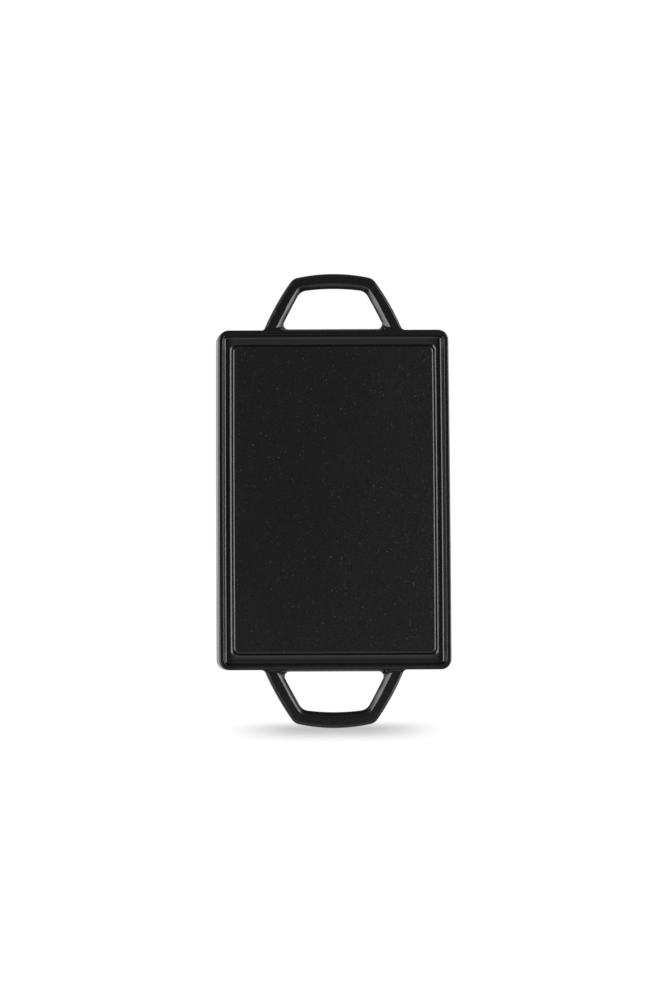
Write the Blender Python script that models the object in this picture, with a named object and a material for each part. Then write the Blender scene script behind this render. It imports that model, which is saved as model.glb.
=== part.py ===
"""Two-handled cast iron bacon press, which also works as a griddle plate.

A flat rectangular iron plate lies in the XY plane with its long side along Y.
Its upper face has a raised rim, a grease channel and a flat pressing plateau.
Its under face has a foot rim round a recess with a row of pressing ribs.
A closed loop handle stands out of each short end, a little above half height.

Metres, +Z up. The origin is the middle of the foot rim's resting plane.
"""

import math

import bmesh
import bpy
from mathutils import Vector

# Plate
PLATE_W = 0.2184  # over the long walls, along X
PLATE_L = 0.3208  # over the short walls, along Y
PLATE_H = 0.018  # foot rim to top rim
CORNER_R = 0.010  # corners of the plate in plan
EDGE_R = 0.0018  # rounding between the outer wall and either rim
CUTTER_OVERSHOOT = 0.002  # how far the recess cutters stand out of the plate

# Upper face. Insets are measured inwards from the outer wall.
RIM_INSET = 0.0044  # inner lip of the rim
WALL_INSET = 0.0072  # foot of the rim's inner wall
CHANNEL_Z = 0.0131  # floor of the grease channel
CHANNEL_CORNER_R = 0.0026
CHANNEL_FLOOR_R = 0.0014
LIP_CHAMFER = 0.0006
LIP_CORNER_R = 0.003
PLATEAU_Z = PLATE_H - 0.002  # pressing face, a little under the rim
PLATEAU_INSET = 0.0149
PLATEAU_SINK = 0.002  # depth of the block's base under the channel floor
PLATEAU_BASE_INSET = 0.0106
PLATEAU_CORNER_R = 0.0052
PLATEAU_EDGE_R = 0.0009

# Under face
FOOT_W = 0.0075  # nominal width of the foot rim
UNDER_MOUTH_FLARE = 0.0006  # the cutter's low face reaches this far past FOOT_W
UNDER_FLOOR_DRAFT = 0.0018  # and its floor stops this far short of it
UNDER_Z = 0.0100  # floor of the under recess
UNDER_CORNER_R = 0.004
UNDER_FLOOR_R = 0.0018
RIB_TIP_Z = 0.0014  # the ribs stop this far above the resting plane
RIB_COUNT = 16
RIB_PITCH = 0.018
RIB_W = 0.0042  # at the tip
RIB_LENGTH = 0.184  # across the plate, at the tip
RIB_DRAFT = 0.0012  # each side, tip to root
RIB_OVERLAP = 0.001  # how far the ribs run into the plate
RIB_CORNER_R = 0.0018
RIB_TIP_R = 0.0012

# Handles, outlined in plan: x along the plate's end wall from its middle,
# y outwards from the wall. "Outer" and "inner" are the two edges of the loop.
HANDLE_Z = 0.0118
HANDLE_T = 0.0085  # thickness
OUTER_CREST_Y, OUTER_BOW_R = 0.0542, 0.160  # crest and bow of the grip's edge
INNER_CREST_Y, INNER_BOW_R = 0.0395, 0.200
OUTER_CORNER_X, INNER_CORNER_X = 0.0378, 0.0305  # where grip and leg would meet
OUTER_ROOT_X, INNER_ROOT_X = 0.0657, 0.0493  # leg's edge where it meets the wall or lip
OUTER_CORNER_R, INNER_CORNER_R = 0.013, 0.0116
OUTER_BULGE, INNER_BULGE = 0.0017, 0.0003  # bow of the leg's edges
OUTER_FLARE_R, INNER_FLARE_R = 0.0044, 0.0047  # fillets at the leg's root
LIP_Y = 0.0016  # width of the lip along the end wall that closes the loop
WALL_RUN = 0.02  # length of wall for the outer fillet to run into
OUTLINE_STEPS = 60  # in each traced or trimmed line
FILLET_STEPS = 24

# Stations along half a handle
GRIP_STATIONS = 5
CORNER_STATIONS = 5
LEG_STATIONS = 7
FLARE_STATIONS = 4
WALL_STATIONS = 6
LIP_STEPS = 3
FLARE_SHARE = 0.3  # of the inner fillet, spent opposite the outer flare
FLATTEN_RATE = 4  # the outer edge is flat after 1/4 of the wall piece

# Handle section
SECTION_R = 0.0028  # rounding of the outer edge
# The outer edge's points: (angle round the rounding in degrees, height when
# flat as a share of half the thickness)
SECTION_OUTER = ((0, 0.6), (45, 0.8), (90, 1.0))
# The taper to the inner edge: (share of the width, share of half the thickness)
SECTION_TAPER = ((0.48, 1.0), (0.64, 0.88), (0.80, 0.64), (0.94, 0.32))
# Narrow sections are thinner: share of full height = least + width / THIN_WIDTH
THIN_LEAST = 0.35
THIN_WIDTH = 0.008

# Finish
IRON = (0.017, 0.017, 0.018, 1.0)
PLATE_ROUGHNESS = 0.42
GRIP_ROUGHNESS = 0.36
PLATE_SHARP_ANGLE = math.radians(35)
HANDLE_SHARP_ANGLE = math.radians(40)


# ------------------------------------------------------------------- helpers
def clear_scene():
    for obj in list(bpy.data.objects):
        bpy.data.objects.remove(obj, do_unlink=True)


def add_collection(name):
    made = bpy.data.collections.new(name)
    bpy.context.scene.collection.children.link(made)
    return made


def iron_material(name, roughness):
    material = bpy.data.materials.new(name)
    material.use_nodes = True
    shader = material.node_tree.nodes["Principled BSDF"]
    shader.inputs["Base Color"].default_value = IRON
    shader.inputs["Roughness"].default_value = roughness
    shader.inputs["Metallic"].default_value = 0.0
    return material


def add_object(name, bm, where, material=None):
    mesh = bpy.data.meshes.new(name)
    bmesh.ops.recalc_face_normals(bm, faces=bm.faces)
    bm.to_mesh(mesh)
    bm.free()
    obj = bpy.data.objects.new(name, mesh)
    where.objects.link(obj)
    if material:
        mesh.materials.append(material)
    return obj


def shade(obj, sharp_angle):
    obj.data.shade_smooth()
    obj.data.set_sharp_from_angle(angle=sharp_angle)


def round_edges(bm, edges, radius, segments):
    bmesh.ops.bevel(
        bm,
        geom=edges,
        offset=radius,
        offset_type="OFFSET",
        segments=segments,
        profile=0.5,
        affect="EDGES",
    )


def level_edges(bm, z):
    """The edges round the flat face of a slab at height z."""
    cap = max(
        (f for f in bm.faces if all(abs(v.co.z - z) < 1e-7 for v in f.verts)),
        key=lambda face: face.calc_area(),
    )
    return list(cap.edges)


def add_slab(bm, low, high, corner_r, corner_segs, low_r=0.0, high_r=0.0, round_segs=2, y=0.0):
    """Adds a drafted, round-cornered slab to bm, centred on (0, y).

    low and high are (width, length, z) of its two flat faces.
    """
    slab = bmesh.new()
    bmesh.ops.create_cube(slab, size=2.0)
    for vert in slab.verts:
        width, length, z = high if vert.co.z > 0 else low
        vert.co = Vector(
            (math.copysign(width / 2, vert.co.x), math.copysign(length / 2, vert.co.y), z)
        )
    uprights = [e for e in slab.edges if abs(e.verts[0].co.z - e.verts[1].co.z) > 1e-6]
    round_edges(slab, uprights, corner_r, corner_segs)
    for z, radius in ((low[2], low_r), (high[2], high_r)):
        if radius > 0:
            round_edges(slab, level_edges(slab, z), radius, round_segs)
    bmesh.ops.translate(slab, vec=Vector((0.0, y, 0.0)), verts=slab.verts)
    scratch = bpy.data.meshes.new("scratch")
    slab.to_mesh(scratch)
    slab.free()
    bm.from_mesh(scratch)
    bpy.data.meshes.remove(scratch)


def inset_face(distance, z):
    """(width, length, z) of a face that lies this far inside the outer wall."""
    return PLATE_W - 2 * distance, PLATE_L - 2 * distance, z


def slab_object(name, where, low, high, *rounding):
    bm = bmesh.new()
    add_slab(bm, low, high, *rounding)
    return add_object(name, bm, where)


def boolean(obj, other, operation):
    modifier = obj.modifiers.new(other.name, "BOOLEAN")
    modifier.operation = operation
    modifier.solver = "EXACT"
    modifier.object = other
    other.hide_render = True
    other.display_type = "WIRE"


# --------------------------------------------------------------------- plate
def top_recess_cutter(where):
    """The recess inside the top rim, carried on at its wall's slope above the rim."""
    slope = (WALL_INSET - RIM_INSET) / (PLATE_H - CHANNEL_Z)
    low = inset_face(WALL_INSET, CHANNEL_Z)
    high = inset_face(RIM_INSET - slope * CUTTER_OVERSHOOT, PLATE_H + CUTTER_OVERSHOOT)
    rounding = (CHANNEL_CORNER_R, 4, CHANNEL_FLOOR_R, 0.0, 3)
    return slab_object("top_recess_cutter", where, low, high, *rounding)


def top_lip_cutter(where):
    """The chamfer on the rim's inner lip."""
    half_height = 1.5 * LIP_CHAMFER
    low = inset_face(RIM_INSET + LIP_CHAMFER, PLATE_H - half_height)
    high = inset_face(RIM_INSET - 2 * LIP_CHAMFER, PLATE_H + half_height)
    return slab_object("top_lip_cutter", where, low, high, LIP_CORNER_R, 3)


def plateau_block(where):
    """The pressing plateau in the middle of the top recess."""
    low = inset_face(PLATEAU_BASE_INSET, CHANNEL_Z - PLATEAU_SINK)
    high = inset_face(PLATEAU_INSET, PLATEAU_Z)
    rounding = (PLATEAU_CORNER_R, 6, 0.0, PLATEAU_EDGE_R, 3)
    return slab_object("plateau_block", where, low, high, *rounding)


def under_recess_cutter(where):
    """The recess inside the foot rim."""
    low = inset_face(FOOT_W - UNDER_MOUTH_FLARE, -CUTTER_OVERSHOOT)
    high = inset_face(FOOT_W + UNDER_FLOOR_DRAFT, UNDER_Z)
    rounding = (UNDER_CORNER_R, 4, 0.0, UNDER_FLOOR_R, 3)
    return slab_object("under_recess_cutter", where, low, high, *rounding)


def rib_blocks(where):
    """The pressing ribs, each along X, in a row down the under recess."""
    tip = (RIB_LENGTH, RIB_W, RIB_TIP_Z)
    root = (RIB_LENGTH + 2 * RIB_DRAFT, RIB_W + 2 * RIB_DRAFT, UNDER_Z + RIB_OVERLAP)
    bm = bmesh.new()
    for i in range(RIB_COUNT):
        y = (i - (RIB_COUNT - 1) / 2) * RIB_PITCH
        add_slab(bm, tip, root, RIB_CORNER_R, 3, low_r=RIB_TIP_R, y=y)
    return add_object("rib_blocks", bm, where)


def build_plate(parts, cutters, material):
    bm = bmesh.new()
    add_slab(bm, inset_face(0, 0.0), inset_face(0, PLATE_H), CORNER_R, 6, EDGE_R, EDGE_R, 4)
    plate = add_object("press_plate", bm, parts, material)
    boolean(plate, top_recess_cutter(cutters), "DIFFERENCE")
    boolean(plate, top_lip_cutter(cutters), "DIFFERENCE")
    boolean(plate, plateau_block(cutters), "UNION")
    boolean(plate, under_recess_cutter(cutters), "DIFFERENCE")
    boolean(plate, rib_blocks(cutters), "UNION")
    shade(plate, PLATE_SHARP_ANGLE)
    return plate


# ----------------------------------------------------------- lines in plan
def line_between(start, stop, count):
    return [start.lerp(stop, i / count) for i in range(count + 1)]


def arc_between(start, stop, bulge, count):
    """Points along an arc that bows to the left of start to stop by bulge."""
    chord = stop - start
    half = chord.length / 2
    radius = (half * half + bulge * bulge) / (2 * bulge)
    forward = chord.normalized()
    left = Vector((-chord.y, chord.x)).normalized()
    centre = (start + stop) / 2 - left * (radius - bulge)
    sweep = 2 * math.asin(half / radius)
    points = []
    for i in range(count + 1):
        angle = (i / count - 0.5) * sweep
        points.append(centre + (forward * math.sin(angle) + left * math.cos(angle)) * radius)
    return points


def length_of(points):
    return sum((stop - start).length for start, stop in zip(points, points[1:]))


def walk(points, fraction):
    """The point at this share of a polyline's length."""
    target = fraction * length_of(points)
    for start, stop in zip(points, points[1:]):
        step = (stop - start).length
        if target <= step:
            return start.lerp(stop, target / step)
        target -= step
    return points[-1].copy()


def trimmed(points, start_cut, end_cut):
    """The polyline, shortened by a length at each end and evenly spaced."""
    whole = length_of(points)
    low, high = start_cut / whole, 1 - end_cut / whole
    return [
        walk(points, low + (high - low) * i / OUTLINE_STEPS) for i in range(OUTLINE_STEPS + 1)
    ]


def meeting_directions(before, after):
    return (before[-1] - before[-2]).normalized(), (after[1] - after[0]).normalized()


def fillet(before, after, radius):
    """Rounds the corner where two polylines meet. Returns (before, rounding, after)."""
    arriving, leaving = meeting_directions(before, after)
    cut = radius * math.tan(arriving.angle(leaving) / 2)
    before, after = trimmed(before, 0.0, cut), trimmed(after, cut, 0.0)

    # A cubic Bezier curve close to a circular arc bridges the gap.
    arriving, leaving = meeting_directions(before, after)
    reach = radius * 4 / 3 * math.tan(arriving.angle(leaving) / 4)
    start, stop = before[-1], after[0]
    start_pull, stop_pull = start + arriving * reach, stop - leaving * reach
    rounding = []
    for i in range(FILLET_STEPS + 1):
        t = i / FILLET_STEPS
        rounding.append(
            start * (1 - t) ** 3
            + start_pull * (3 * t * (1 - t) ** 2)
            + stop_pull * (3 * t * t * (1 - t))
            + stop * t**3
        )
    return before, rounding, after


# ------------------------------------------------------------------- handles
def grip_to_leg(crest_y, bow_r, corner_x, corner_r, root, bulge):
    """One edge of half a handle, from the middle of the grip to the leg's root."""
    grip = []
    for i in range(OUTLINE_STEPS + 1):
        x = corner_x * i / OUTLINE_STEPS
        grip.append(Vector((x, crest_y - bow_r + math.sqrt(bow_r * bow_r - x * x))))
    leg = arc_between(grip[-1], root, bulge, OUTLINE_STEPS)
    return fillet(grip, leg, corner_r)


def inner_outline():
    """Inner edge: grip, corner, leg, fillet at the root, lip to the handle's middle."""
    root = Vector((INNER_ROOT_X, LIP_Y))
    grip, corner, leg = grip_to_leg(
        INNER_CREST_Y, INNER_BOW_R, INNER_CORNER_X, INNER_CORNER_R, root, INNER_BULGE
    )
    lip = line_between(root, Vector((0.0, LIP_Y)), OUTLINE_STEPS)
    leg, flare, lip = fillet(leg, lip, INNER_FLARE_R)
    return grip, corner, leg, flare, lip


def outer_outline(inner_lip):
    """Outer edge: grip, corner, leg, flare, then back along the wall and behind the lip."""
    root = Vector((OUTER_ROOT_X, 0.0))
    grip, corner, leg = grip_to_leg(
        OUTER_CREST_Y, OUTER_BOW_R, OUTER_CORNER_X, OUTER_CORNER_R, root, OUTER_BULGE
    )
    run_out = line_between(root, Vector((OUTER_ROOT_X + WALL_RUN, 0.0)), 20)
    leg, flare, _ = fillet(leg, run_out, OUTER_FLARE_R)
    wall = line_between(flare[-1], Vector((inner_lip[0].x, 0.0)), 40)
    lip_back = [Vector((point.x, 0.0)) for point in inner_lip]
    return grip, corner, leg, flare, wall, lip_back


def half_stations():
    """(outer point, inner point, how round the outer edge is), from grip to lip."""
    inner = inner_outline()
    outer = outer_outline(inner[-1])
    inner_flare, inner_lip = inner[3:]
    flare, wall, lip_back = outer[3:]
    stations = []
    for outer_piece, inner_piece, count in zip(
        outer, inner, (GRIP_STATIONS, CORNER_STATIONS, LEG_STATIONS)
    ):
        for i in range(count):
            stations.append((walk(outer_piece, i / count), walk(inner_piece, i / count), 1.0))
    for i in range(FLARE_STATIONS):
        t = i / FLARE_STATIONS
        stations.append((walk(flare, t), walk(inner_flare, FLARE_SHARE * t), 1.0))
    for i in range(WALL_STATIONS):
        t = i / WALL_STATIONS
        inner_point = walk(inner_flare, FLARE_SHARE + (1 - FLARE_SHARE) * t)
        stations.append((walk(wall, t), inner_point, max(0.0, 1 - FLATTEN_RATE * t)))
    for i in range(LIP_STEPS + 1):
        t = i / LIP_STEPS
        stations.append((walk(lip_back, t), walk(inner_lip, t), 0.0))
    return stations


def handle_section(roundness, width):
    """The closed section as (distance in from the outer edge, height).

    Roundness 0 leaves a flat face against the wall.
    """
    half_t = HANDLE_T / 2
    points = [(0.0, 0.0)]
    for degrees, flat_share in SECTION_OUTER:
        angle = math.radians(degrees)
        rounded = half_t - SECTION_R + SECTION_R * math.sin(angle)
        flat = half_t * flat_share
        distance = SECTION_R * (1 - math.cos(angle)) * roundness
        points.append((distance, flat + (rounded - flat) * roundness))
    points += [(width * share, half_t * height) for share, height in SECTION_TAPER]
    points.append((width, 0.0))

    thin = min(1.0, THIN_LEAST + width / THIN_WIDTH)
    upper = [(distance, height * thin) for distance, height in points]
    return upper + [(distance, -height) for distance, height in upper[-2:0:-1]]


def build_handle(name, end, parts, material):
    """A handle on the +Y end of the plate (end 1) or the -Y end (end -1)."""
    half = half_stations()
    mirrored = [
        (Vector((-outer.x, outer.y)), Vector((-inner.x, inner.y)), roundness)
        for outer, inner, roundness in half[1:-1]
    ]
    bm = bmesh.new()
    loops = []
    for outer, inner, roundness in half + mirrored[::-1]:
        across = inner - outer
        width = across.length
        across.normalize()
        loop = []
        for distance, height in handle_section(roundness, width):
            point = outer + across * distance
            y = PLATE_L / 2 + max(0.0, point.y)  # never inside the end wall
            loop.append(bm.verts.new((point.x * end, y * end, HANDLE_Z + height)))
        loops.append(loop)
    for loop, following in zip(loops, loops[1:] + loops[:1]):
        for i in range(len(loop)):
            j = (i + 1) % len(loop)
            bm.faces.new((loop[i], loop[j], following[j], following[i]))
    handle = add_object(name, bm, parts, material)
    shade(handle, HANDLE_SHARP_ANGLE)
    return handle


def main():
    clear_scene()
    parts = add_collection("bacon_press")
    cutters = add_collection("cutters")
    enamel = iron_material("black_enamelled_iron", PLATE_ROUGHNESS)
    grip_enamel = iron_material("black_enamelled_iron_grip", GRIP_ROUGHNESS)
    frame = bpy.data.objects.new("bacon_press_frame", None)
    parts.objects.link(frame)
    build_plate(parts, cutters, enamel).parent = frame
    build_handle("handle_front", -1.0, parts, grip_enamel).parent = frame
    build_handle("handle_rear", 1.0, parts, grip_enamel).parent = frame


main()
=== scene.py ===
"""A two-handled cast iron bacon press: a ribbed plate with a loop handle at each end.

Metres, +Z up. The plate lies on the floor, centred on the origin, with its long side along Y.
The front handle is at -Y and the rear handle at +Y. Left is -X.
"""

import math
from types import SimpleNamespace

import bmesh
import bpy
from mathutils import Matrix, Vector, noise


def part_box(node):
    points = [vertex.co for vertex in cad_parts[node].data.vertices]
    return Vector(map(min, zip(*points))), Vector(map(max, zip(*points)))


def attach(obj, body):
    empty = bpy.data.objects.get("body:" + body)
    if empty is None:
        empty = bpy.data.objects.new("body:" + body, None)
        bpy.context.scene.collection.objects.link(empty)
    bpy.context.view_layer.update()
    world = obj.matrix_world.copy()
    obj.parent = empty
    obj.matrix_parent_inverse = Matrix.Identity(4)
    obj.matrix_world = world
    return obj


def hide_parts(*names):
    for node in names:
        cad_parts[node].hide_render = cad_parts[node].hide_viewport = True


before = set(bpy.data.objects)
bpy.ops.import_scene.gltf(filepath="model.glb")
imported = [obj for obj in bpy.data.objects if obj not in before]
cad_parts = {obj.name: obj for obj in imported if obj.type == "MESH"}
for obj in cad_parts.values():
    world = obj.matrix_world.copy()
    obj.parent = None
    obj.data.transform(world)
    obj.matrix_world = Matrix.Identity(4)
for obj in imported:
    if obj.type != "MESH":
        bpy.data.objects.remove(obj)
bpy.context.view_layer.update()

# Shapes are in millimetres until a mesh is written. The stage is in metres.
MM = 0.001
BODY = "root"
plate_low, plate_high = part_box("press_plate")
handle_low, handle_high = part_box("handle_rear")
HALF_W = (plate_high.x - plate_low.x) / 2 / MM
HALF_L = (plate_high.y - plate_low.y) / 2 / MM
HEIGHT = plate_high.z / MM

# ---------------------------------------------------------- plate dimensions
# An inset is a distance in from the plate's outer wall. A tilt is in degrees from level.
EDGE_R = 1.4  # rounding between the outer wall and the rim or the foot
WALL_LOOP = 1.2  # from that rounding to the nearest loop on the wall
LIP_START, LIP_R, LIP_WALL = 3.95, 0.62, 70.0  # rim's inner lip, and the tilt of the wall below it
CHANNEL_Z, CHANNEL_DIP, END_DIP = 13.1, 0.06, 0.24  # the end channels dip deeper
FOOT_END, FOOT_R = 8.1, 2.3  # concave foot of the rim's inner wall
RISE_START, RISE_R, RISE_WALL = 10.85, 3.4, 50.0  # concave foot of the plateau's wall
PLATEAU_Z = 16.0
PLATEAU_START, PLATEAU_R = 15.75, 2.0  # where the flat begins, and its edge rounding

UNDER_Z = 10.0  # roof of the recess below
FOOT_RIM, FOOT_RIM_R, UNDER_WALL = 6.9, 0.8, 78.0  # inner edge of the foot rim, and its wall
UNDER_END, UNDER_R = 10.8, 2.0  # fillet between that wall and the roof

# (inset, extra inset of the end walls)
END_WIDER = ((0.0, 0.0), (3.0, 0.0), (7.2, 0.2), (12.0, 0.5), (14.9, 1.3), (30.0, 1.3))
# (inset, corner radius in plan)
TOP_CORNERS = (
    (0.0, 9.9), (1.4, 8.8), (4.2, 6.0), (5.0, 4.6), (6.2, 2.6), (7.2, 1.5), (8.0, 1.3),
    (11.0, 4.6), (12.0, 5.6), (13.2, 5.6), (14.4, 5.0), (15.6, 4.4), (30.0, 4.4),
)
UNDER_CORNERS = ((0.0, 9.9), (1.4, 8.8), (6.9, 4.2), (30.0, 4.2))
CORNER_SEGS, LONG_SEGS, SHORT_SEGS = 14, 40, 28

GRID_HALF_W = HALF_W - PLATEAU_START - 4.5
GRID_HALF_L = HALF_L - PLATEAU_START - 5.8
GRID_COLUMNS, GRID_ROWS = 60, 92
WAVE_FADE = 12.0  # the unevenness fades out over this margin of the grid
PLATEAU_WAVES = ((0.008, 1.7, 38.0), (0.003, 7.1, 11.0))  # (height, seed, size)

RIB_COUNT, RIB_PITCH = 16, 18.0
RIB_TIP_Z, RIB_HALF_L, RIB_HALF_W = 1.4, 92.0, 2.1
RIB_TIP_R, RIB_BASE_R, RIB_DRAFT = 1.0, 1.3, 8.0

CREST_FALL, CREST_FALL_START = 0.05, 3.4  # the end rims' crests fall outwards from this inset
SIDE_BOW = 0.35  # the long sides swell this much from corner to middle
SIDE_DRAFT = 0.42  # the long sides' walls spread this much down to the foot
SIDE_DRAFT_FRONT = 0.30  # added at the left front


# ------------------------------------------------------------- shape helpers
def smooth(value):
    value = max(0.0, min(1.0, value))
    return value * value * (3 - 2 * value)


def from_table(table, place):
    for (place0, value0), (place1, value1) in zip(table, table[1:]):
        if place <= place1:
            return value0 + (value1 - value0) * (place - place0) / (place1 - place0)
    return table[-1][1]


def bend(level, radius, tilts, side, up):
    """Arc of (inset, height) points over tilts (first, last, steps); level is its point at tilt 0.

    It runs inwards from level for side 1 and outwards for -1. It is a crest for up 1 and a
    hollow for -1.
    """
    first, last, steps = tilts
    inset, z = level
    centre_z = z - up * radius
    points = []
    for i in range(steps + 1):
        tilt = math.radians(first + (last - first) * i / steps)
        points.append((
            inset + side * radius * math.sin(tilt),
            centre_z + up * radius * math.cos(tilt),
        ))
    return points


def midpoint(before, after):
    return (before[0] + after[0]) / 2, (before[1] + after[1]) / 2


def ring_points(half_x, half_y, radius, corner_segs, x_segs, y_segs):
    """A rounded rectangle, anticlockwise from the lower end of its +X side."""
    points = []
    flat_x, flat_y = half_x - radius, half_y - radius
    # (side's start, side's end, segments, centre of the corner after it, corner's first angle)
    sides = (
        ((half_x, -flat_y), (half_x, flat_y), y_segs, (flat_x, flat_y), 0),
        ((flat_x, half_y), (-flat_x, half_y), x_segs, (-flat_x, flat_y), 90),
        ((-half_x, flat_y), (-half_x, -flat_y), y_segs, (-flat_x, -flat_y), 180),
        ((-flat_x, -half_y), (flat_x, -half_y), x_segs, (flat_x, -flat_y), 270),
    )
    for (x0, y0), (x1, y1), segs, centre, first_angle in sides:
        for i in range(segs):
            part = i / segs
            points.append((x0 + (x1 - x0) * part, y0 + (y1 - y0) * part))
        for i in range(corner_segs):
            angle = math.radians(first_angle + 90 * i / corner_segs)
            x = centre[0] + radius * math.cos(angle)
            y = centre[1] + radius * math.sin(angle)
            points.append((x, y))
    return points


def skin(bm, loops):
    """Joins each closed loop of vertices to the next with quads."""
    for low, high in zip(loops, loops[1:]):
        for i in range(len(low)):
            j = (i + 1) % len(low)
            bm.faces.new((low[i], low[j], high[j], high[i]))


def fill(bm, loops, normal):
    """Fills the flat region between the first loop and the others."""
    edges = []
    for loop in loops:
        for start, end in zip(loop, loop[1:] + loop[:1]):
            edges.append(bm.edges.get((start, end)) or bm.edges.new((start, end)))
    bmesh.ops.triangle_fill(
        bm, use_beauty=True, use_dissolve=False, edges=edges, normal=Vector(normal)
    )


def new_piece(name, bm, material, grain, painted_light):
    """Writes a millimetre bmesh as a metre object; grain, and the painted light that pales the
    colour, are rules of x, y, z in mm.
    """
    bmesh.ops.recalc_face_normals(bm, faces=bm.faces)
    bmesh.ops.scale(bm, vec=Vector((MM, MM, MM)), verts=bm.verts)
    mesh = bpy.data.meshes.new(name)
    bm.to_mesh(mesh)
    bm.free()
    mesh.shade_smooth()
    obj = bpy.data.objects.new(name, mesh)
    bpy.context.scene.collection.objects.link(obj)
    mesh.materials.append(material)
    for label, rule in (("grain", grain), ("painted_light", painted_light)):
        values = [rule(*(c / MM for c in v.co)) for v in mesh.vertices]
        mesh.attributes.new(label, "FLOAT", "POINT").data.foreach_set("value", values)
    return obj


# --------------------------------------------------------------------- plate
def top_profile():
    """(inset, height) from half way up the outer wall, over rim and channel, to the plateau."""
    rim = bend((EDGE_R, HEIGHT), EDGE_R, (90, 0, 12), side=-1, up=1)
    rim += [(inset, HEIGHT) for inset in (EDGE_R + 0.2, LIP_START - 0.9, LIP_START - 0.15)]
    rim += bend((LIP_START, HEIGHT), LIP_R, (0, LIP_WALL, 7), side=1, up=1)
    foot = bend((FOOT_END, CHANNEL_Z), FOOT_R, (LIP_WALL, 0, 8), side=-1, up=-1)
    channel = []
    for i in range(1, 4):
        part = i / 4
        inset = FOOT_END + (RISE_START - FOOT_END) * part
        channel.append((inset, CHANNEL_Z - CHANNEL_DIP * math.sin(math.pi * part)))
    rise = bend((RISE_START, CHANNEL_Z), RISE_R, (0, RISE_WALL, 7), side=1, up=-1)
    edge = bend((PLATEAU_START, PLATEAU_Z), PLATEAU_R, (RISE_WALL, 0, 7), side=-1, up=1)
    return [
        (0.0, HEIGHT / 2),
        (0.0, HEIGHT - EDGE_R - WALL_LOOP),
        *rim,
        midpoint(rim[-1], foot[0]),
        *foot,
        *channel,
        *rise,
        midpoint(rise[-1], edge[0]),
        *edge,
        (PLATEAU_START + 0.5, PLATEAU_Z),
        (PLATEAU_START + 1.5, PLATEAU_Z),
    ]


def under_profile():
    """(inset, height) from low on the outer wall, under the foot rim, to the recess's roof."""
    return [
        (0.0, EDGE_R + WALL_LOOP),
        *bend((EDGE_R, 0.0), EDGE_R, (90, 0, 10), side=-1, up=-1),
        (EDGE_R + 0.4, 0.0),
        (FOOT_RIM - 0.3, 0.0),
        *bend((FOOT_RIM, 0.0), FOOT_RIM_R, (0, UNDER_WALL, 5), side=1, up=-1),
        *bend((UNDER_END, UNDER_Z), UNDER_R, (UNDER_WALL, 0, 6), side=-1, up=1),
        (UNDER_END + 0.5, UNDER_Z),
    ]


def profile_rings(bm, profile, corners):
    rings = []
    for inset, z in profile:
        half_y = HALF_L - inset - from_table(END_WIDER, inset)
        radius = from_table(corners, inset)
        outline = ring_points(HALF_W - inset, half_y, radius, CORNER_SEGS, SHORT_SEGS, LONG_SEGS)
        rings.append([bm.verts.new((x, y, z)) for x, y in outline])
    return rings


def add_plateau(bm, surround):
    """Fine grid inside the surround, so that the slow unevenness of the casting is in the mesh."""
    grid = []
    for j in range(GRID_ROWS + 1):
        y = GRID_HALF_L * (2 * j / GRID_ROWS - 1)
        row = []
        for i in range(GRID_COLUMNS + 1):
            row.append(bm.verts.new((GRID_HALF_W * (2 * i / GRID_COLUMNS - 1), y, PLATEAU_Z)))
        grid.append(row)
    for low, high in zip(grid, grid[1:]):
        for i in range(GRID_COLUMNS):
            bm.faces.new((low[i], low[i + 1], high[i + 1], high[i]))
    border = grid[0][:-1] + [row[-1] for row in grid[:-1]]
    border += grid[-1][:0:-1] + [row[0] for row in grid[:0:-1]]
    fill(bm, [border, surround], (0, 0, 1))
    for row in grid:
        for v in row:
            x, y = v.co.x, v.co.y
            edge = min(GRID_HALF_W - abs(x), GRID_HALF_L - abs(y))
            fade = max(0.0, min(1.0, edge / WAVE_FADE))
            v.co.z += fade * sum(
                height * noise.noise(Vector((x / size, y / size, seed)))
                for height, seed, size in PLATEAU_WAVES
            )


def add_ribs(bm):
    """Round-ended pressing ribs that hang in the recess. Returns their loops on its roof."""
    # (distance out from the rib's straight outline, height)
    profile = bend((-RIB_TIP_R, RIB_TIP_Z), RIB_TIP_R, (0, 90 - RIB_DRAFT, 5), side=1, up=-1)
    tip_out, tip_z = profile[-1]
    lean = math.tan(math.radians(RIB_DRAFT))
    base_out = tip_out + lean * ((UNDER_Z - RIB_BASE_R) - tip_z)
    base = (base_out + RIB_BASE_R, UNDER_Z)
    profile += bend(base, RIB_BASE_R, (90 - RIB_DRAFT, 0, 5), side=-1, up=1)
    bases = []
    for k in range(RIB_COUNT):
        rib_y = (k - (RIB_COUNT - 1) / 2) * RIB_PITCH
        rings = []
        for out, z in profile:
            half_x, half_y = RIB_HALF_L + out, RIB_HALF_W + out
            radius = min(half_y * 0.999, half_x)
            outline = ring_points(half_x, half_y, radius, 6, 12, 1)
            rings.append([bm.verts.new((x, rib_y + y, z)) for x, y in outline])
        skin(bm, rings)
        bm.faces.new(rings[0])
        bases.append(rings[-1])
    return bases


def between_sides(x, margin):
    """1 along the middle of an end wall, falling to 0 near the long sides."""
    return 1 - smooth((abs(x) - HALF_W + margin) / 6.0)


def shape_ends(bm):
    """Deepens the channels along the end walls, and drops the rim's crest there outwards."""
    for v in bm.verts:
        inset = HALF_L - abs(v.co.y)
        foot_end = inset - from_table(END_WIDER, inset - 0.5) - FOOT_END
        across = foot_end / (RISE_START - FOOT_END)
        ends = between_sides(v.co.x, 16.0)
        if 0.0 < across < 1.0 and CHANNEL_Z - 1.0 < v.co.z < PLATEAU_Z - 1.5:
            v.co.z -= (END_DIP - CHANNEL_DIP) * math.sin(math.pi * across) * ends
        if 0.3 < inset < CREST_FALL_START and v.co.z > PLATEAU_Z:
            v.co.z -= CREST_FALL * (CREST_FALL_START - inset) ** 2 * ends


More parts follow.
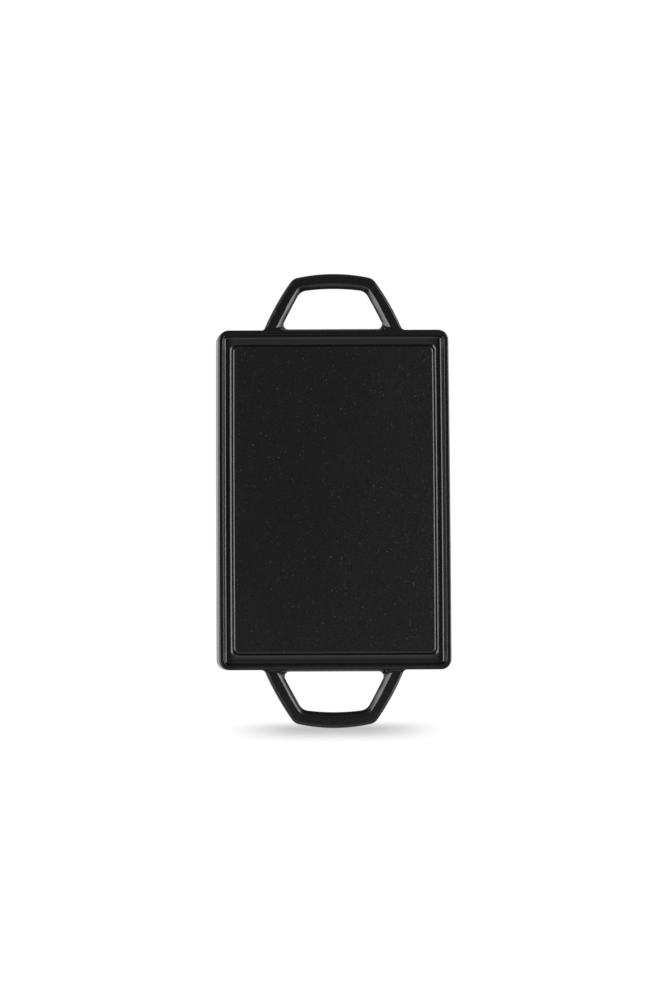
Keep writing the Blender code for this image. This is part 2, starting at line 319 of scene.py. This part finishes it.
def shape_sides(bm):
    """Gives the long sides' walls their casting draft and their slight swell."""
    for v in bm.verts:
        outer = smooth((abs(v.co.x) - HALF_W + 12.0) / 10.0)
        low = max(0.0, 1 - v.co.z / (HEIGHT - EDGE_R))
        spread = SIDE_DRAFT
        if v.co.x < 0:
            spread += SIDE_DRAFT_FRONT * smooth((-v.co.y - 30.0) / 100.0)
        v.co.x += math.copysign(spread * outer * low, v.co.x)
        v.co.x *= 1 - SIDE_BOW / HALF_W * (v.co.y / HALF_L) ** 2


def plate_grain(x, y, z):
    """Coarsest on the plateau, finest in a band round its edge."""
    edge = min(HALF_W - PLATEAU_START - abs(x), HALF_L - PLATEAU_START - abs(y))
    if z < 12.0:
        return 0.55
    if edge < -10.0:
        return 0.5
    return max(0.25, min(1.0, 0.5 + edge / 1.5))


def plate_painted_light(x, y, z):
    """Painted light: paler colour along the channels at the ends, the rear one most."""
    inset = HALF_L - abs(y) - 0.5
    begin = between_sides(x, 14.0) * smooth((inset - 4.5) / 1.5)
    fade = 1 - 0.35 * smooth((inset - 7.0) / 4.0)
    return begin * fade * (1 - smooth((inset - 12.0) / 2.0)) * (1.0 if y > 0 else 0.5)


def build_plate(material):
    bm = bmesh.new()
    top = profile_rings(bm, top_profile(), TOP_CORNERS)
    under = profile_rings(bm, under_profile(), UNDER_CORNERS)
    skin(bm, top)
    skin(bm, [top[0], under[0]])
    skin(bm, under)
    add_plateau(bm, top[-1])
    fill(bm, [under[-1]] + add_ribs(bm), (0, 0, -1))
    shape_ends(bm)
    shape_sides(bm)
    return new_piece("press_plate_casting", bm, material, plate_grain, plate_painted_light)


# ------------------------------------------------------------------- handles
# Outlines are drawn in plan for +X of the rear handle as (x, distance out from the end wall).
# crest and crest_r: the grip's bowed edge; bulge: the leg's swell; flare_r: the leg's foot.
OUTER = SimpleNamespace(
    crest=54.2, crest_r=160.0, corner_x=37.8, corner_r=13.0, root_x=65.7, bulge=1.7, flare_r=4.4
)
INNER = SimpleNamespace(
    crest=39.5, crest_r=200.0, corner_x=30.5, corner_r=11.6, root_x=49.3, bulge=0.3, flare_r=4.7
)
LIP_V = 1.6  # how far the lip between the legs stands out from the end wall
LEG_TOP, LEG_FOOT = Vector((INNER.corner_x, 37.2)), Vector((INNER.root_x, LIP_V))
# Square to the leg, away from the opening.
LEG_OUT = Vector((LEG_TOP.y - LEG_FOOT.y, LEG_FOOT.x - LEG_TOP.x)).normalized()
OUTLINE_STEPS, TRIM_STEPS, FILLET_STEPS = 120, 200, 60
ROOT_SHARE = 0.28  # part of the inner flare that faces the outer flare

HANDLE_Z = (handle_high.z + handle_low.z) / 2 / MM
HALF_T = (handle_high.z - handle_low.z) / 2 / MM
OUT_ROUND = 2.9  # rounding of the outer edge
# Flat top, then a rounded break, an inner slope that steepens, and a small nose.
BREAK_R, NOSE_R = 3.2, 0.6
SLOPE_TOP, SLOPE_END = math.radians(33.0), math.radians(49.5)
SLOPE_R = (HALF_T - BREAK_R * (1 - math.cos(SLOPE_TOP)) - NOSE_R * math.cos(SLOPE_END)) / (
    math.cos(SLOPE_TOP) - math.cos(SLOPE_END)
)
# Distance from the start of the break to the inner edge.
SLOPE_REACH = (
    BREAK_R * math.sin(SLOPE_TOP)
    + SLOPE_R * (math.sin(SLOPE_END) - math.sin(SLOPE_TOP))
    + NOSE_R * (1 - math.sin(SLOPE_END))
)
WEB_HALF = 1.5  # half thickness of the web that fills the inner corner at the root
LIP_WIDTH, LIP_BLEND = 6.0, 2.5  # narrower sections are the lip's; the change takes this much
ROOT_FILLET = 0.9  # the handle thickens this close to the end wall
SINK, SINK_REACH = 0.45, 0.9  # the root sinks this far into the wall, fading out over the reach

# The two castings differ a little: shifts of the grip's edges, and the sideways drift of the
# (left, right) leg at the wall and beyond it.
ENDS = {
    1.0: SimpleNamespace(outer=0.0, inner=0.42, at_wall=(0.25, 0.5), beyond=(0.40, 0.58)),
    -1.0: SimpleNamespace(outer=0.22, inner=0.0, at_wall=(-0.35, -0.5), beyond=(0.04, -0.45)),
}


def arc_between(start, end, bulge):
    """Arc that swells to the left of the way from start to end."""
    chord = end - start
    half = chord.length / 2
    radius = (half * half + bulge * bulge) / (2 * bulge)
    left = Vector((-chord.y, chord.x)).normalized()
    centre = (start + end) / 2 - left * (radius - bulge)
    sweep = 2 * math.asin(half / radius)
    points = []
    for i in range(OUTLINE_STEPS + 1):
        angle = (i / OUTLINE_STEPS - 0.5) * sweep
        toward = chord.normalized() * math.sin(angle) + left * math.cos(angle)
        points.append(centre + toward * radius)
    return points


def length_of(points):
    return sum((after - before).length for before, after in zip(points, points[1:]))


def walk(points, fraction):
    """The point at this fraction of a polyline's length."""
    target = fraction * length_of(points)
    for before, after in zip(points, points[1:]):
        step = (after - before).length
        if target <= step or after is points[-1]:
            return before.lerp(after, min(1.0, target / step) if step else 0.0)
        target -= step
    return points[-1].copy()


def trimmed(points, start_cut, end_cut):
    whole = length_of(points)
    low, high = start_cut / whole, 1 - end_cut / whole
    return [walk(points, low + (high - low) * i / TRIM_STEPS) for i in range(TRIM_STEPS + 1)]


def directions(before, after):
    return (before[-1] - before[-2]).normalized(), (after[1] - after[0]).normalized()


def fillet(before, after, radius):
    """Trims two polylines that meet, and returns them with a smooth curve for the corner."""
    arrive, leave = directions(before, after)
    cut = radius * math.tan(arrive.angle(leave) / 2)
    before, after = trimmed(before, 0.0, cut), trimmed(after, cut, 0.0)
    arrive, leave = directions(before, after)
    start, end = before[-1], after[0]
    reach = radius * 4 / 3 * math.tan(arrive.angle(leave) / 4)
    pull_start, pull_end = start + arrive * reach, end - leave * reach
    rounding = []
    for i in range(FILLET_STEPS + 1):
        part = i / FILLET_STEPS
        rounding.append(
            start * (1 - part) ** 3
            + pull_start * (3 * part * (1 - part) ** 2)
            + pull_end * (3 * part * part * (1 - part))
            + end * part**3
        )
    return before, rounding, after


def edge_outline(edge, shift, base_line):
    """Grip, corner, leg, flare and the trimmed base line of one edge of the handle."""
    grip = []
    for i in range(OUTLINE_STEPS + 1):
        x = edge.corner_x * i / OUTLINE_STEPS
        rise = math.sqrt(edge.crest_r * edge.crest_r - x * x)
        grip.append(Vector((x, edge.crest + shift - edge.crest_r + rise)))
    leg = arc_between(grip[-1], base_line[0], edge.bulge)
    grip, corner, leg = fillet(grip, leg, edge.corner_r)
    leg, flare, base_line = fillet(leg, base_line, edge.flare_r)
    return [grip, corner, leg, flare, base_line]


def handle_stations(end):
    """(outer point, inner point, roundness of the outer edge) right round the closed handle."""
    wall = [Vector((OUTER.root_x + i, 0.0)) for i in range(21)]
    lip = [
        Vector((INNER.root_x * (1 - i / OUTLINE_STEPS), LIP_V)) for i in range(OUTLINE_STEPS + 1)
    ]
    outer = edge_outline(OUTER, ENDS[end].outer, wall)
    inner = edge_outline(INNER, ENDS[end].inner, lip)
    flare, (root, lip) = outer[3], inner[3:]
    lip_back = [Vector((point.x, 0.0)) for point in lip]
    root_back = [flare[-1].lerp(lip_back[0], i / 80) for i in range(81)]

    stations = []
    for out_line, in_line, count in zip(outer, inner, (18, 14, 20)):
        for i in range(count):
            stations.append((walk(out_line, i / count), walk(in_line, i / count), 1.0))
    for i in range(8):
        stations.append((walk(flare, i / 8), walk(root, ROOT_SHARE * i / 8), 1.0))
    for i in range(16):
        part = i / 16
        in_point = walk(root, ROOT_SHARE + (1 - ROOT_SHARE) * part)
        stations.append((walk(root_back, part), in_point, max(0.0, 1 - 4 * part)))
    for i in range(25):
        stations.append((walk(lip_back, i / 24), walk(lip, i / 24), 0.0))
    for out, inn, outer_round in stations[-2:0:-1]:
        stations.append((Vector((-out.x, out.y)), Vector((-inn.x, inn.y)), outer_round))
    return stations


def bar_section(width, outer_round, start=None, stretch=1.0):
    """Upper half of a section as (distance in from the outer edge, height), edge to edge.

    start is where the inner slope begins, and stretch widens the slope for a slanting cut.
    Where that leaves room, a thinner web fills the rest of the width.
    """
    points = [(0.0, 0.0), (0.0, 0.5 * (HALF_T - OUT_ROUND))]
    for i in range(8):
        turn = math.radians(90 * i / 7)
        flat = HALF_T * (0.45 + 0.55 * i / 7)
        rounded = HALF_T - OUT_ROUND + OUT_ROUND * math.sin(turn)
        height = flat + (rounded - flat) * outer_round
        points.append((OUT_ROUND * (1 - math.cos(turn)) * outer_round, height))
    first = OUT_ROUND * outer_round
    latest = width - SLOPE_REACH
    start = latest if start is None else max(first + 0.3, min(start, latest))
    stretch = max(1.0, min(stretch, (width - start) / SLOPE_REACH))
    web = smooth((width - start - SLOPE_REACH * stretch) / 1.5)
    for i in range(1, 5):
        points.append((first + (start - first) * i / 5, HALF_T))
    for i in range(6):
        tilt = SLOPE_TOP * i / 5
        inward = start + stretch * BREAK_R * math.sin(tilt)
        points.append((inward, HALF_T - BREAK_R * (1 - math.cos(tilt))))
    slope_in, slope_height = points[-1]
    for i in range(1, 11):
        tilt = SLOPE_TOP + (SLOPE_END - SLOPE_TOP) * i / 10
        inward = slope_in + stretch * SLOPE_R * (math.sin(tilt) - math.sin(SLOPE_TOP))
        height = slope_height - SLOPE_R * (math.cos(SLOPE_TOP) - math.cos(tilt))
        points.append((inward, max(height, WEB_HALF * web)))
    nose = NOSE_R + (WEB_HALF - NOSE_R) * web
    nose_start = SLOPE_END * (1 - web)
    for i in range(1, 6):
        tilt = nose_start + (math.pi / 2 - nose_start) * i / 5
        points.append((width - nose + nose * math.sin(tilt), nose * math.cos(tilt)))
    return points


def lip_section(width):
    """The same number of points for the lip on the end wall: flat back, steep rounded front."""
    front = 16
    back = len(bar_section(14.0, 1.0)) - front
    points = [(0.0, HALF_T * i / back) for i in range(back)]
    for i in range(front):
        turn = math.radians(90 * i / (front - 1))
        inward = width * max(0.0, math.sin(turn)) ** 1.3
        points.append((inward, HALF_T * max(0.0, math.cos(turn)) ** 1.3))
    return points


def station_section(out, width, across, outer_round):
    """The bar's section, blended into the lip's where the station is narrow."""
    lip = lip_section(width)
    if width <= LIP_WIDTH:
        return lip
    side = Vector((math.copysign(LEG_OUT.x, out.x), LEG_OUT.y))
    start, stretch = None, 1.0
    # Along the legs the slope keeps its line, whatever the slant of the cut.
    if outer_round > 0 and out.y < 36 and across.dot(side) < -0.2:
        anchor = Vector((math.copysign(LEG_TOP.x, out.x), LEG_TOP.y))
        start = (SLOPE_REACH - (out - anchor).dot(side)) / across.dot(side)
        stretch = min(1.7, -1 / across.dot(side))
    bar = bar_section(width, outer_round, start, stretch)
    mix = 1 - smooth((width - LIP_WIDTH) / LIP_BLEND)
    return [(x0 + (x1 - x0) * mix, z0 + (z1 - z0) * mix) for (x0, z0), (x1, z1) in zip(bar, lip)]


def drift(x, beyond, end):
    """Sideways offset of a handle's point at world x, this far beyond the wall."""
    sides = ENDS[end]
    along = min(1.0, max(0.0, beyond / 22.0))
    across = min(1.0, max(0.0, (x + 30.0) / 60.0))
    left, right = (
        wall + (far - wall) * along for wall, far in zip(sides.at_wall, sides.beyond)
    )
    return left + (right - left) * smooth(across)


def handle_point(point, height, end):
    """World place in mm of a plan point at this height from the handle's middle."""
    beyond = max(0.0, point.y)
    if beyond < ROOT_FILLET:
        hollow = math.sqrt(max(0.0, ROOT_FILLET**2 - (ROOT_FILLET - beyond) ** 2))
        height *= 1 + (ROOT_FILLET - hollow) / HALF_T
    beyond -= SINK * (1 - smooth(beyond / SINK_REACH))
    x = point.x * end
    return x + drift(x, beyond, end), (HALF_L + beyond) * end, HANDLE_Z + height


def build_handle(name, end, material):
    """One handle: end is 1.0 for the rear and -1.0 for the front, which is turned half round."""
    bm = bmesh.new()
    loops = []
    for out, inn, outer_round in handle_stations(end):
        across = inn - out
        width = across.length
        across.normalize()
        upper = station_section(out, width, across, outer_round)
        lower = [(inward, -height) for inward, height in upper[-2:0:-1]]
        loop = []
        for inward, height in upper + lower:
            loop.append(bm.verts.new(handle_point(out + across * inward, height, end)))
        loops.append(loop)
    skin(bm, loops + loops[:1])
    return new_piece(name, bm, material, grain=lambda *_: 0.6, painted_light=lambda *_: 0.0)


# -------------------------------------------------------------- node helpers
def add(tree, kind, inputs=None, **settings):
    """Adds a node. Each input, by name or number, is linked from a socket or set to a value."""
    made = tree.nodes.new(kind)
    for key, value in settings.items():
        setattr(made, key, value)
    for key, value in (inputs or {}).items():
        if isinstance(value, bpy.types.NodeSocket):
            tree.links.new(value, made.inputs[key])
        else:
            made.inputs[key].default_value = value
    return made


def maths(tree, operation, *terms, clamp=False):
    inputs = dict(enumerate(terms))
    return add(tree, "ShaderNodeMath", inputs, operation=operation, use_clamp=clamp).outputs[0]


def scaled(tree, value, times, plus, clamp=False):
    return maths(tree, "MULTIPLY_ADD", value, times, plus, clamp=clamp)


def vector_maths(tree, operation, inputs, output=0):
    return add(tree, "ShaderNodeVectorMath", inputs, operation=operation).outputs[output]


def noise_at(tree, coords, scale, detail, roughness=0.5):
    inputs = {"Scale": scale, "Detail": detail, "Roughness": roughness, "Vector": coords}
    return add(tree, "ShaderNodeTexNoise", inputs).outputs["Fac"]


def remap(tree, value, low, high, to_low=0.0, to_high=1.0):
    inputs = {"From Min": low, "From Max": high, "To Min": to_low, "To Max": to_high}
    inputs["Value"] = value
    return add(tree, "ShaderNodeMapRange", inputs, interpolation_type="SMOOTHSTEP").outputs[0]


def mix_shaders(tree, factor, first, second):
    return add(tree, "ShaderNodeMixShader", {0: factor, 1: first, 2: second}).outputs[0]


def emission(tree, strength):
    return add(tree, "ShaderNodeEmission", {"Strength": strength}).outputs[0]


# ----------------------------------------------------------------- materials
def enamel_colour(tree, base, grain, cloud, speck_and_glint, pits):
    """Base colour, mottled by cloud and pits, with painted glints on specks and painted light in
    the end channels.
    """
    painted_light = add(tree, "ShaderNodeAttribute", attribute_name="painted_light").outputs["Fac"]
    tone = scaled(tree, grain, times=0.45, plus=0.55)
    tone = maths(tree, "MULTIPLY", tone, scaled(tree, cloud, times=0.12, plus=0.94))
    # Painted glints: the specks are lightened in colour where the raised grain would catch the
    # light.
    tone = scaled(tree, maths(tree, "MULTIPLY", speck_and_glint, grain), times=4.5, plus=tone)
    pitting = remap(tree, pits, low=0.3, high=0.7, to_low=0.8, to_high=1.2)
    tone = maths(tree, "MULTIPLY", tone, pitting)
    # Painted light: the end channels are made paler in colour.
    tone = scaled(tree, painted_light, times=2.3, plus=tone)
    return vector_maths(tree, "SCALE", {0: base, "Scale": tone})


def enamel_normal(tree, coords, grain, speck_and_glint, pits, fine, grain_height):
    """A slow unevenness under the fine grain."""
    height = scaled(tree, speck_and_glint, times=0.9, plus=pits)
    height = scaled(tree, fine, times=0.25, plus=height)
    height = maths(tree, "MULTIPLY", height, grain)
    normal = {}
    wave = noise_at(tree, coords, scale=150.0, detail=1.0)
    for relief, distance in ((wave, 0.00016), (height, grain_height)):
        inputs = {"Strength": 1.0, "Distance": distance, "Height": relief, **normal}
        normal = {"Normal": add(tree, "ShaderNodeBump", inputs).outputs["Normal"]}
    return normal["Normal"]


def enamel_specular(tree):
    """At a glancing view the cast grain shadows itself, so level faces don't mirror the room."""
    geometry = add(tree, "ShaderNodeNewGeometry").outputs
    inputs = {0: geometry["Incoming"], 1: geometry["Normal"]}
    facing = vector_maths(tree, "DOT_PRODUCT", inputs, "Value")
    up = add(tree, "ShaderNodeSeparateXYZ", {0: geometry["Normal"]}).outputs["Z"]
    glancing = remap(tree, facing, low=0.02, high=0.34, to_low=1.0, to_high=0.0)
    glancing = maths(tree, "MULTIPLY", glancing, remap(tree, up, low=0.7, high=0.95))
    falloff, full_level = 3.0, 0.5
    left = maths(tree, "POWER", maths(tree, "SUBTRACT", 1.0, glancing), falloff)
    return maths(tree, "MULTIPLY", left, full_level)


def enamel(name, base, roughness, grain_height):
    """Satin black finish over cast iron: fine grain, faint mottling, slightly uneven sheen."""
    material = bpy.data.materials.new(name)
    material.use_nodes = True
    tree = material.node_tree
    coords = add(tree, "ShaderNodeTexCoord").outputs["Object"]
    grain = add(tree, "ShaderNodeAttribute", attribute_name="grain").outputs["Fac"]
    cloud = noise_at(tree, coords, scale=28.0, detail=3.0)
    # Raised specks of the grain; their lighter colour is a painted glint.
    speck_and_glint = noise_at(tree, coords, scale=520.0, detail=1.0)
    speck_and_glint = remap(tree, speck_and_glint, low=0.70, high=0.79)
    pits = noise_at(tree, coords, scale=900.0, detail=2.0, roughness=0.6)
    fine = noise_at(tree, coords, scale=2400.0, detail=2.0, roughness=0.6)

    sheen = scaled(tree, cloud, times=0.02, plus=roughness - 0.01)
    rough_pits = maths(tree, "MULTIPLY", pits, grain)
    sheen = scaled(tree, rough_pits, times=0.10, plus=sheen, clamp=True)

    shader = tree.nodes["Principled BSDF"].inputs
    for key, socket in (
        ("Base Color", enamel_colour(tree, base, grain, cloud, speck_and_glint, pits)),
        ("Roughness", sheen),
        ("Normal", enamel_normal(tree, coords, grain, speck_and_glint, pits, fine, grain_height)),
        ("Specular IOR Level", enamel_specular(tree)),
    ):
        tree.links.new(socket, shader[key])
    shader["Metallic"].default_value = 0.0
    shader["IOR"].default_value = 1.5
    return material


# --------------------------------------------------------------------- stage
# Soft shade on the floor at the front handle: centre, half width, and reach to rear and front.
SHADE_X, SHADE_Y, SHADE_RX = 0.0025, -0.2157, 0.114
SHADE_BACK, SHADE_FRONT, SHADE_DEPTH = 0.0088, 0.0142, 0.47
FLOOR_GLOW, FLOOR_MIRRORED = 1.02, 1.0  # seen from overhead, and in reflections
FLOOR_GREY, FLOOR_LIFT = 0.29, 0.26  # the lit floor's colour and its own glow
ROOM_LEVEL, BACKDROP = 0.03, 0.90

CAMERA_AIM = (-0.0003, -0.0007, 0.014)
CAMERA_LEAN, CAMERA_ROLL = 4.2, -0.25  # degrees
CAMERA_SIDE = 0.158  # sideways shift to the left, as a slope
CAMERA_SQUARE = -0.0096  # keeps the plate square in the picture
LENS, SENSOR, VIEW_WIDTH = 85.0, 36.0, 0.9425
CAMERA_FAR = LENS / SENSOR * VIEW_WIDTH


def floor_shade(tree, position):
    split = add(tree, "ShaderNodeSeparateXYZ", {0: position}).outputs
    across = maths(tree, "DIVIDE", maths(tree, "SUBTRACT", split["X"], SHADE_X), SHADE_RX)
    across = maths(tree, "ABSOLUTE", across)
    along = maths(tree, "SUBTRACT", split["Y"], SHADE_Y)
    back = maths(tree, "DIVIDE", along, SHADE_BACK)
    front = maths(tree, "DIVIDE", along, -SHADE_FRONT)
    towards = maths(tree, "MAXIMUM", back, front)
    width_fade = remap(tree, across, low=0.2, high=1.0, to_low=SHADE_DEPTH, to_high=0.0)
    length_fade = remap(tree, towards, low=0.0, high=1.0, to_low=1.0, to_high=0.0)
    return maths(tree, "MULTIPLY", width_fade, length_fade)


def floor_material():
    material = bpy.data.materials.new("pale_floor")
    material.use_nodes = True
    tree = material.node_tree
    tree.nodes.clear()
    geometry = add(tree, "ShaderNodeNewGeometry").outputs
    path = add(tree, "ShaderNodeLightPath").outputs

    level = maths(tree, "SUBTRACT", 1.0, floor_shade(tree, geometry["Position"]))
    glow = emission(tree, maths(tree, "MULTIPLY", level, FLOOR_GLOW))

    # A lit floor that fades into the plain backdrop further out.
    grey = (FLOOR_GREY, FLOOR_GREY, FLOOR_GREY, 1.0)
    matt = add(tree, "ShaderNodeBsdfDiffuse", {"Color": grey}).outputs[0]
    lit = add(tree, "ShaderNodeAddShader", {0: matt, 1: emission(tree, FLOOR_LIFT)}).outputs[0]
    reach = vector_maths(tree, "LENGTH", {0: geometry["Position"]}, "Value")
    far = remap(tree, reach, low=0.30, high=1.10)
    spread = mix_shaders(tree, far, lit, emission(tree, BACKDROP))

    # Reflections see an even white, and so does a camera nearly overhead, but for the shade.
    mirror = emission(tree, FLOOR_MIRRORED)
    mirrored = mix_shaders(tree, path["Is Glossy Ray"], spread, mirror)
    inputs = {0: geometry["Incoming"], 1: (0.0, 0.0, 1.0)}
    facing = vector_maths(tree, "DOT_PRODUCT", inputs, "Value")
    overhead = remap(tree, facing, low=0.80, high=0.95)
    overhead = maths(tree, "MULTIPLY", overhead, path["Is Camera Ray"])
    seen = mix_shaders(tree, overhead, mirrored, glow)

    # From below the floor is clear.
    clear = add(tree, "ShaderNodeBsdfTransparent").outputs[0]
    final = mix_shaders(tree, geometry["Backfacing"], seen, clear)
    add(tree, "ShaderNodeOutputMaterial", {"Surface": final})
    return material


def build_floor():
    bm = bmesh.new()
    bmesh.ops.create_grid(bm, x_segments=8, y_segments=8, size=4.0)
    mesh = bpy.data.meshes.new("studio_floor")
    bm.to_mesh(mesh)
    bm.free()
    floor = bpy.data.objects.new("studio_floor", mesh)
    floor.location.z = -0.0002
    bpy.context.scene.collection.objects.link(floor)
    mesh.materials.append(floor_material())


def build_world():
    """A dim room that the camera sees as a pale backdrop."""
    world = bpy.data.worlds.new("studio")
    bpy.context.scene.world = world
    world.use_nodes = True
    tree = world.node_tree
    tree.nodes.clear()
    path = add(tree, "ShaderNodeLightPath").outputs
    room, backdrop = (
        add(tree, "ShaderNodeBackground", {"Color": (1.0,) * 4, "Strength": level}).outputs[0]
        for level in (ROOM_LEVEL, BACKDROP)
    )
    seen = mix_shaders(tree, path["Is Camera Ray"], room, backdrop)
    add(tree, "ShaderNodeOutputWorld", {"Surface": seen})


def placement(position, right, up, back):
    return Matrix.Translation(position) @ Matrix((right, up, back)).transposed().to_4x4()


def softbox(name, position, size, radiance, aim=(0.0, 0.0, 0.01)):
    """An area light of this radiance that faces aim."""
    data = bpy.data.lights.new(name, "AREA")
    data.shape = "RECTANGLE"
    data.size, data.size_y = size
    data.energy = radiance * math.pi * size[0] * size[1]
    light = bpy.data.objects.new(name, data)
    bpy.context.scene.collection.objects.link(light)
    towards = (Vector(aim) - Vector(position)).normalized()
    up = Vector((0, 1, 0)) if abs(towards.y) < 0.6 else Vector((0, 0, 1))
    side = towards.cross(up).normalized()
    light.matrix_world = placement(position, side, side.cross(towards), -towards)
    light.visible_camera = False


def build_lights():
    softbox(
        "left_box", position=(-1.05, 0.11, 0.95), size=(1.26, 1.46), radiance=6.0,
        aim=(0.0, 0.11, 0.01),
    )
    softbox(
        "right_box", position=(1.18, 0.13, 0.77), size=(1.16, 1.45), radiance=6.4,
        aim=(0.0, 0.13, 0.01),
    )
    softbox("front_box", position=(0.0, -1.02, 0.90), size=(1.2, 0.84), radiance=0.88)
    softbox("upper_front_box", position=(0.0, -0.52, 1.40), size=(1.4, 0.42), radiance=0.42)
    softbox("rear_box", position=(0.0, 1.05, 0.95), size=(1.2, 1.0), radiance=0.2)
    softbox(
        "left_fill", position=(-1.60, 0.9, 0.31), size=(0.26, 2.6), radiance=1.9,
        aim=(0.0, 0.9, 0.01),
    )


def build_camera():
    """A view camera: it leans a little to the front, and stands to the left.

    The sideways shift is carried by the matrix that ties it to its stand, so the camera alone,
    turned to any other view, has no shift.
    """
    data = bpy.data.cameras.new("camera")
    data.sensor_width = SENSOR
    data.lens = LENS
    data.clip_end = 50.0
    camera = bpy.data.objects.new("camera", data)
    stand = bpy.data.objects.new("camera_stand", None)
    for obj in (stand, camera):
        bpy.context.scene.collection.objects.link(obj)
    lean, turn = math.radians(CAMERA_LEAN), math.radians(CAMERA_ROLL)
    film = Vector((0.0, -math.sin(lean), math.cos(lean)))
    level_right = Vector((1.0, 0.0, 0.0))
    level_up = film.cross(level_right).normalized()
    right = level_right * math.cos(turn) + level_up * math.sin(turn)
    up = level_up * math.cos(turn) - level_right * math.sin(turn)
    up = (up + right * CAMERA_SQUARE).normalized()
    back = (film - right * CAMERA_SIDE).normalized()
    position = Vector(CAMERA_AIM) + back * CAMERA_FAR
    camera.parent = stand
    camera.matrix_parent_inverse = placement(position, right, up, back)
    bpy.context.scene.camera = camera


# ------------------------------------------------------------------ assembly
def register(piece, cad):
    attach(piece, BODY)
    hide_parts(cad)


plate_look = enamel(
    "satin_black_enamel", base=(0.0037, 0.0037, 0.0038), roughness=0.21, grain_height=0.00005
)
grip_look = enamel(
    "satin_black_enamel_grip", base=(0.0035, 0.0035, 0.0036), roughness=0.22, grain_height=0.00003
)
register(build_plate(plate_look), "press_plate")
for cad_name, end_sign in (("handle_front", -1.0), ("handle_rear", 1.0)):
    handle = build_handle(cad_name + "_grip", end_sign, grip_look)
    register(handle, cad_name)

build_floor()
build_world()
build_lights()
build_camera()
bpy.context.scene.view_settings.view_transform = "Standard"
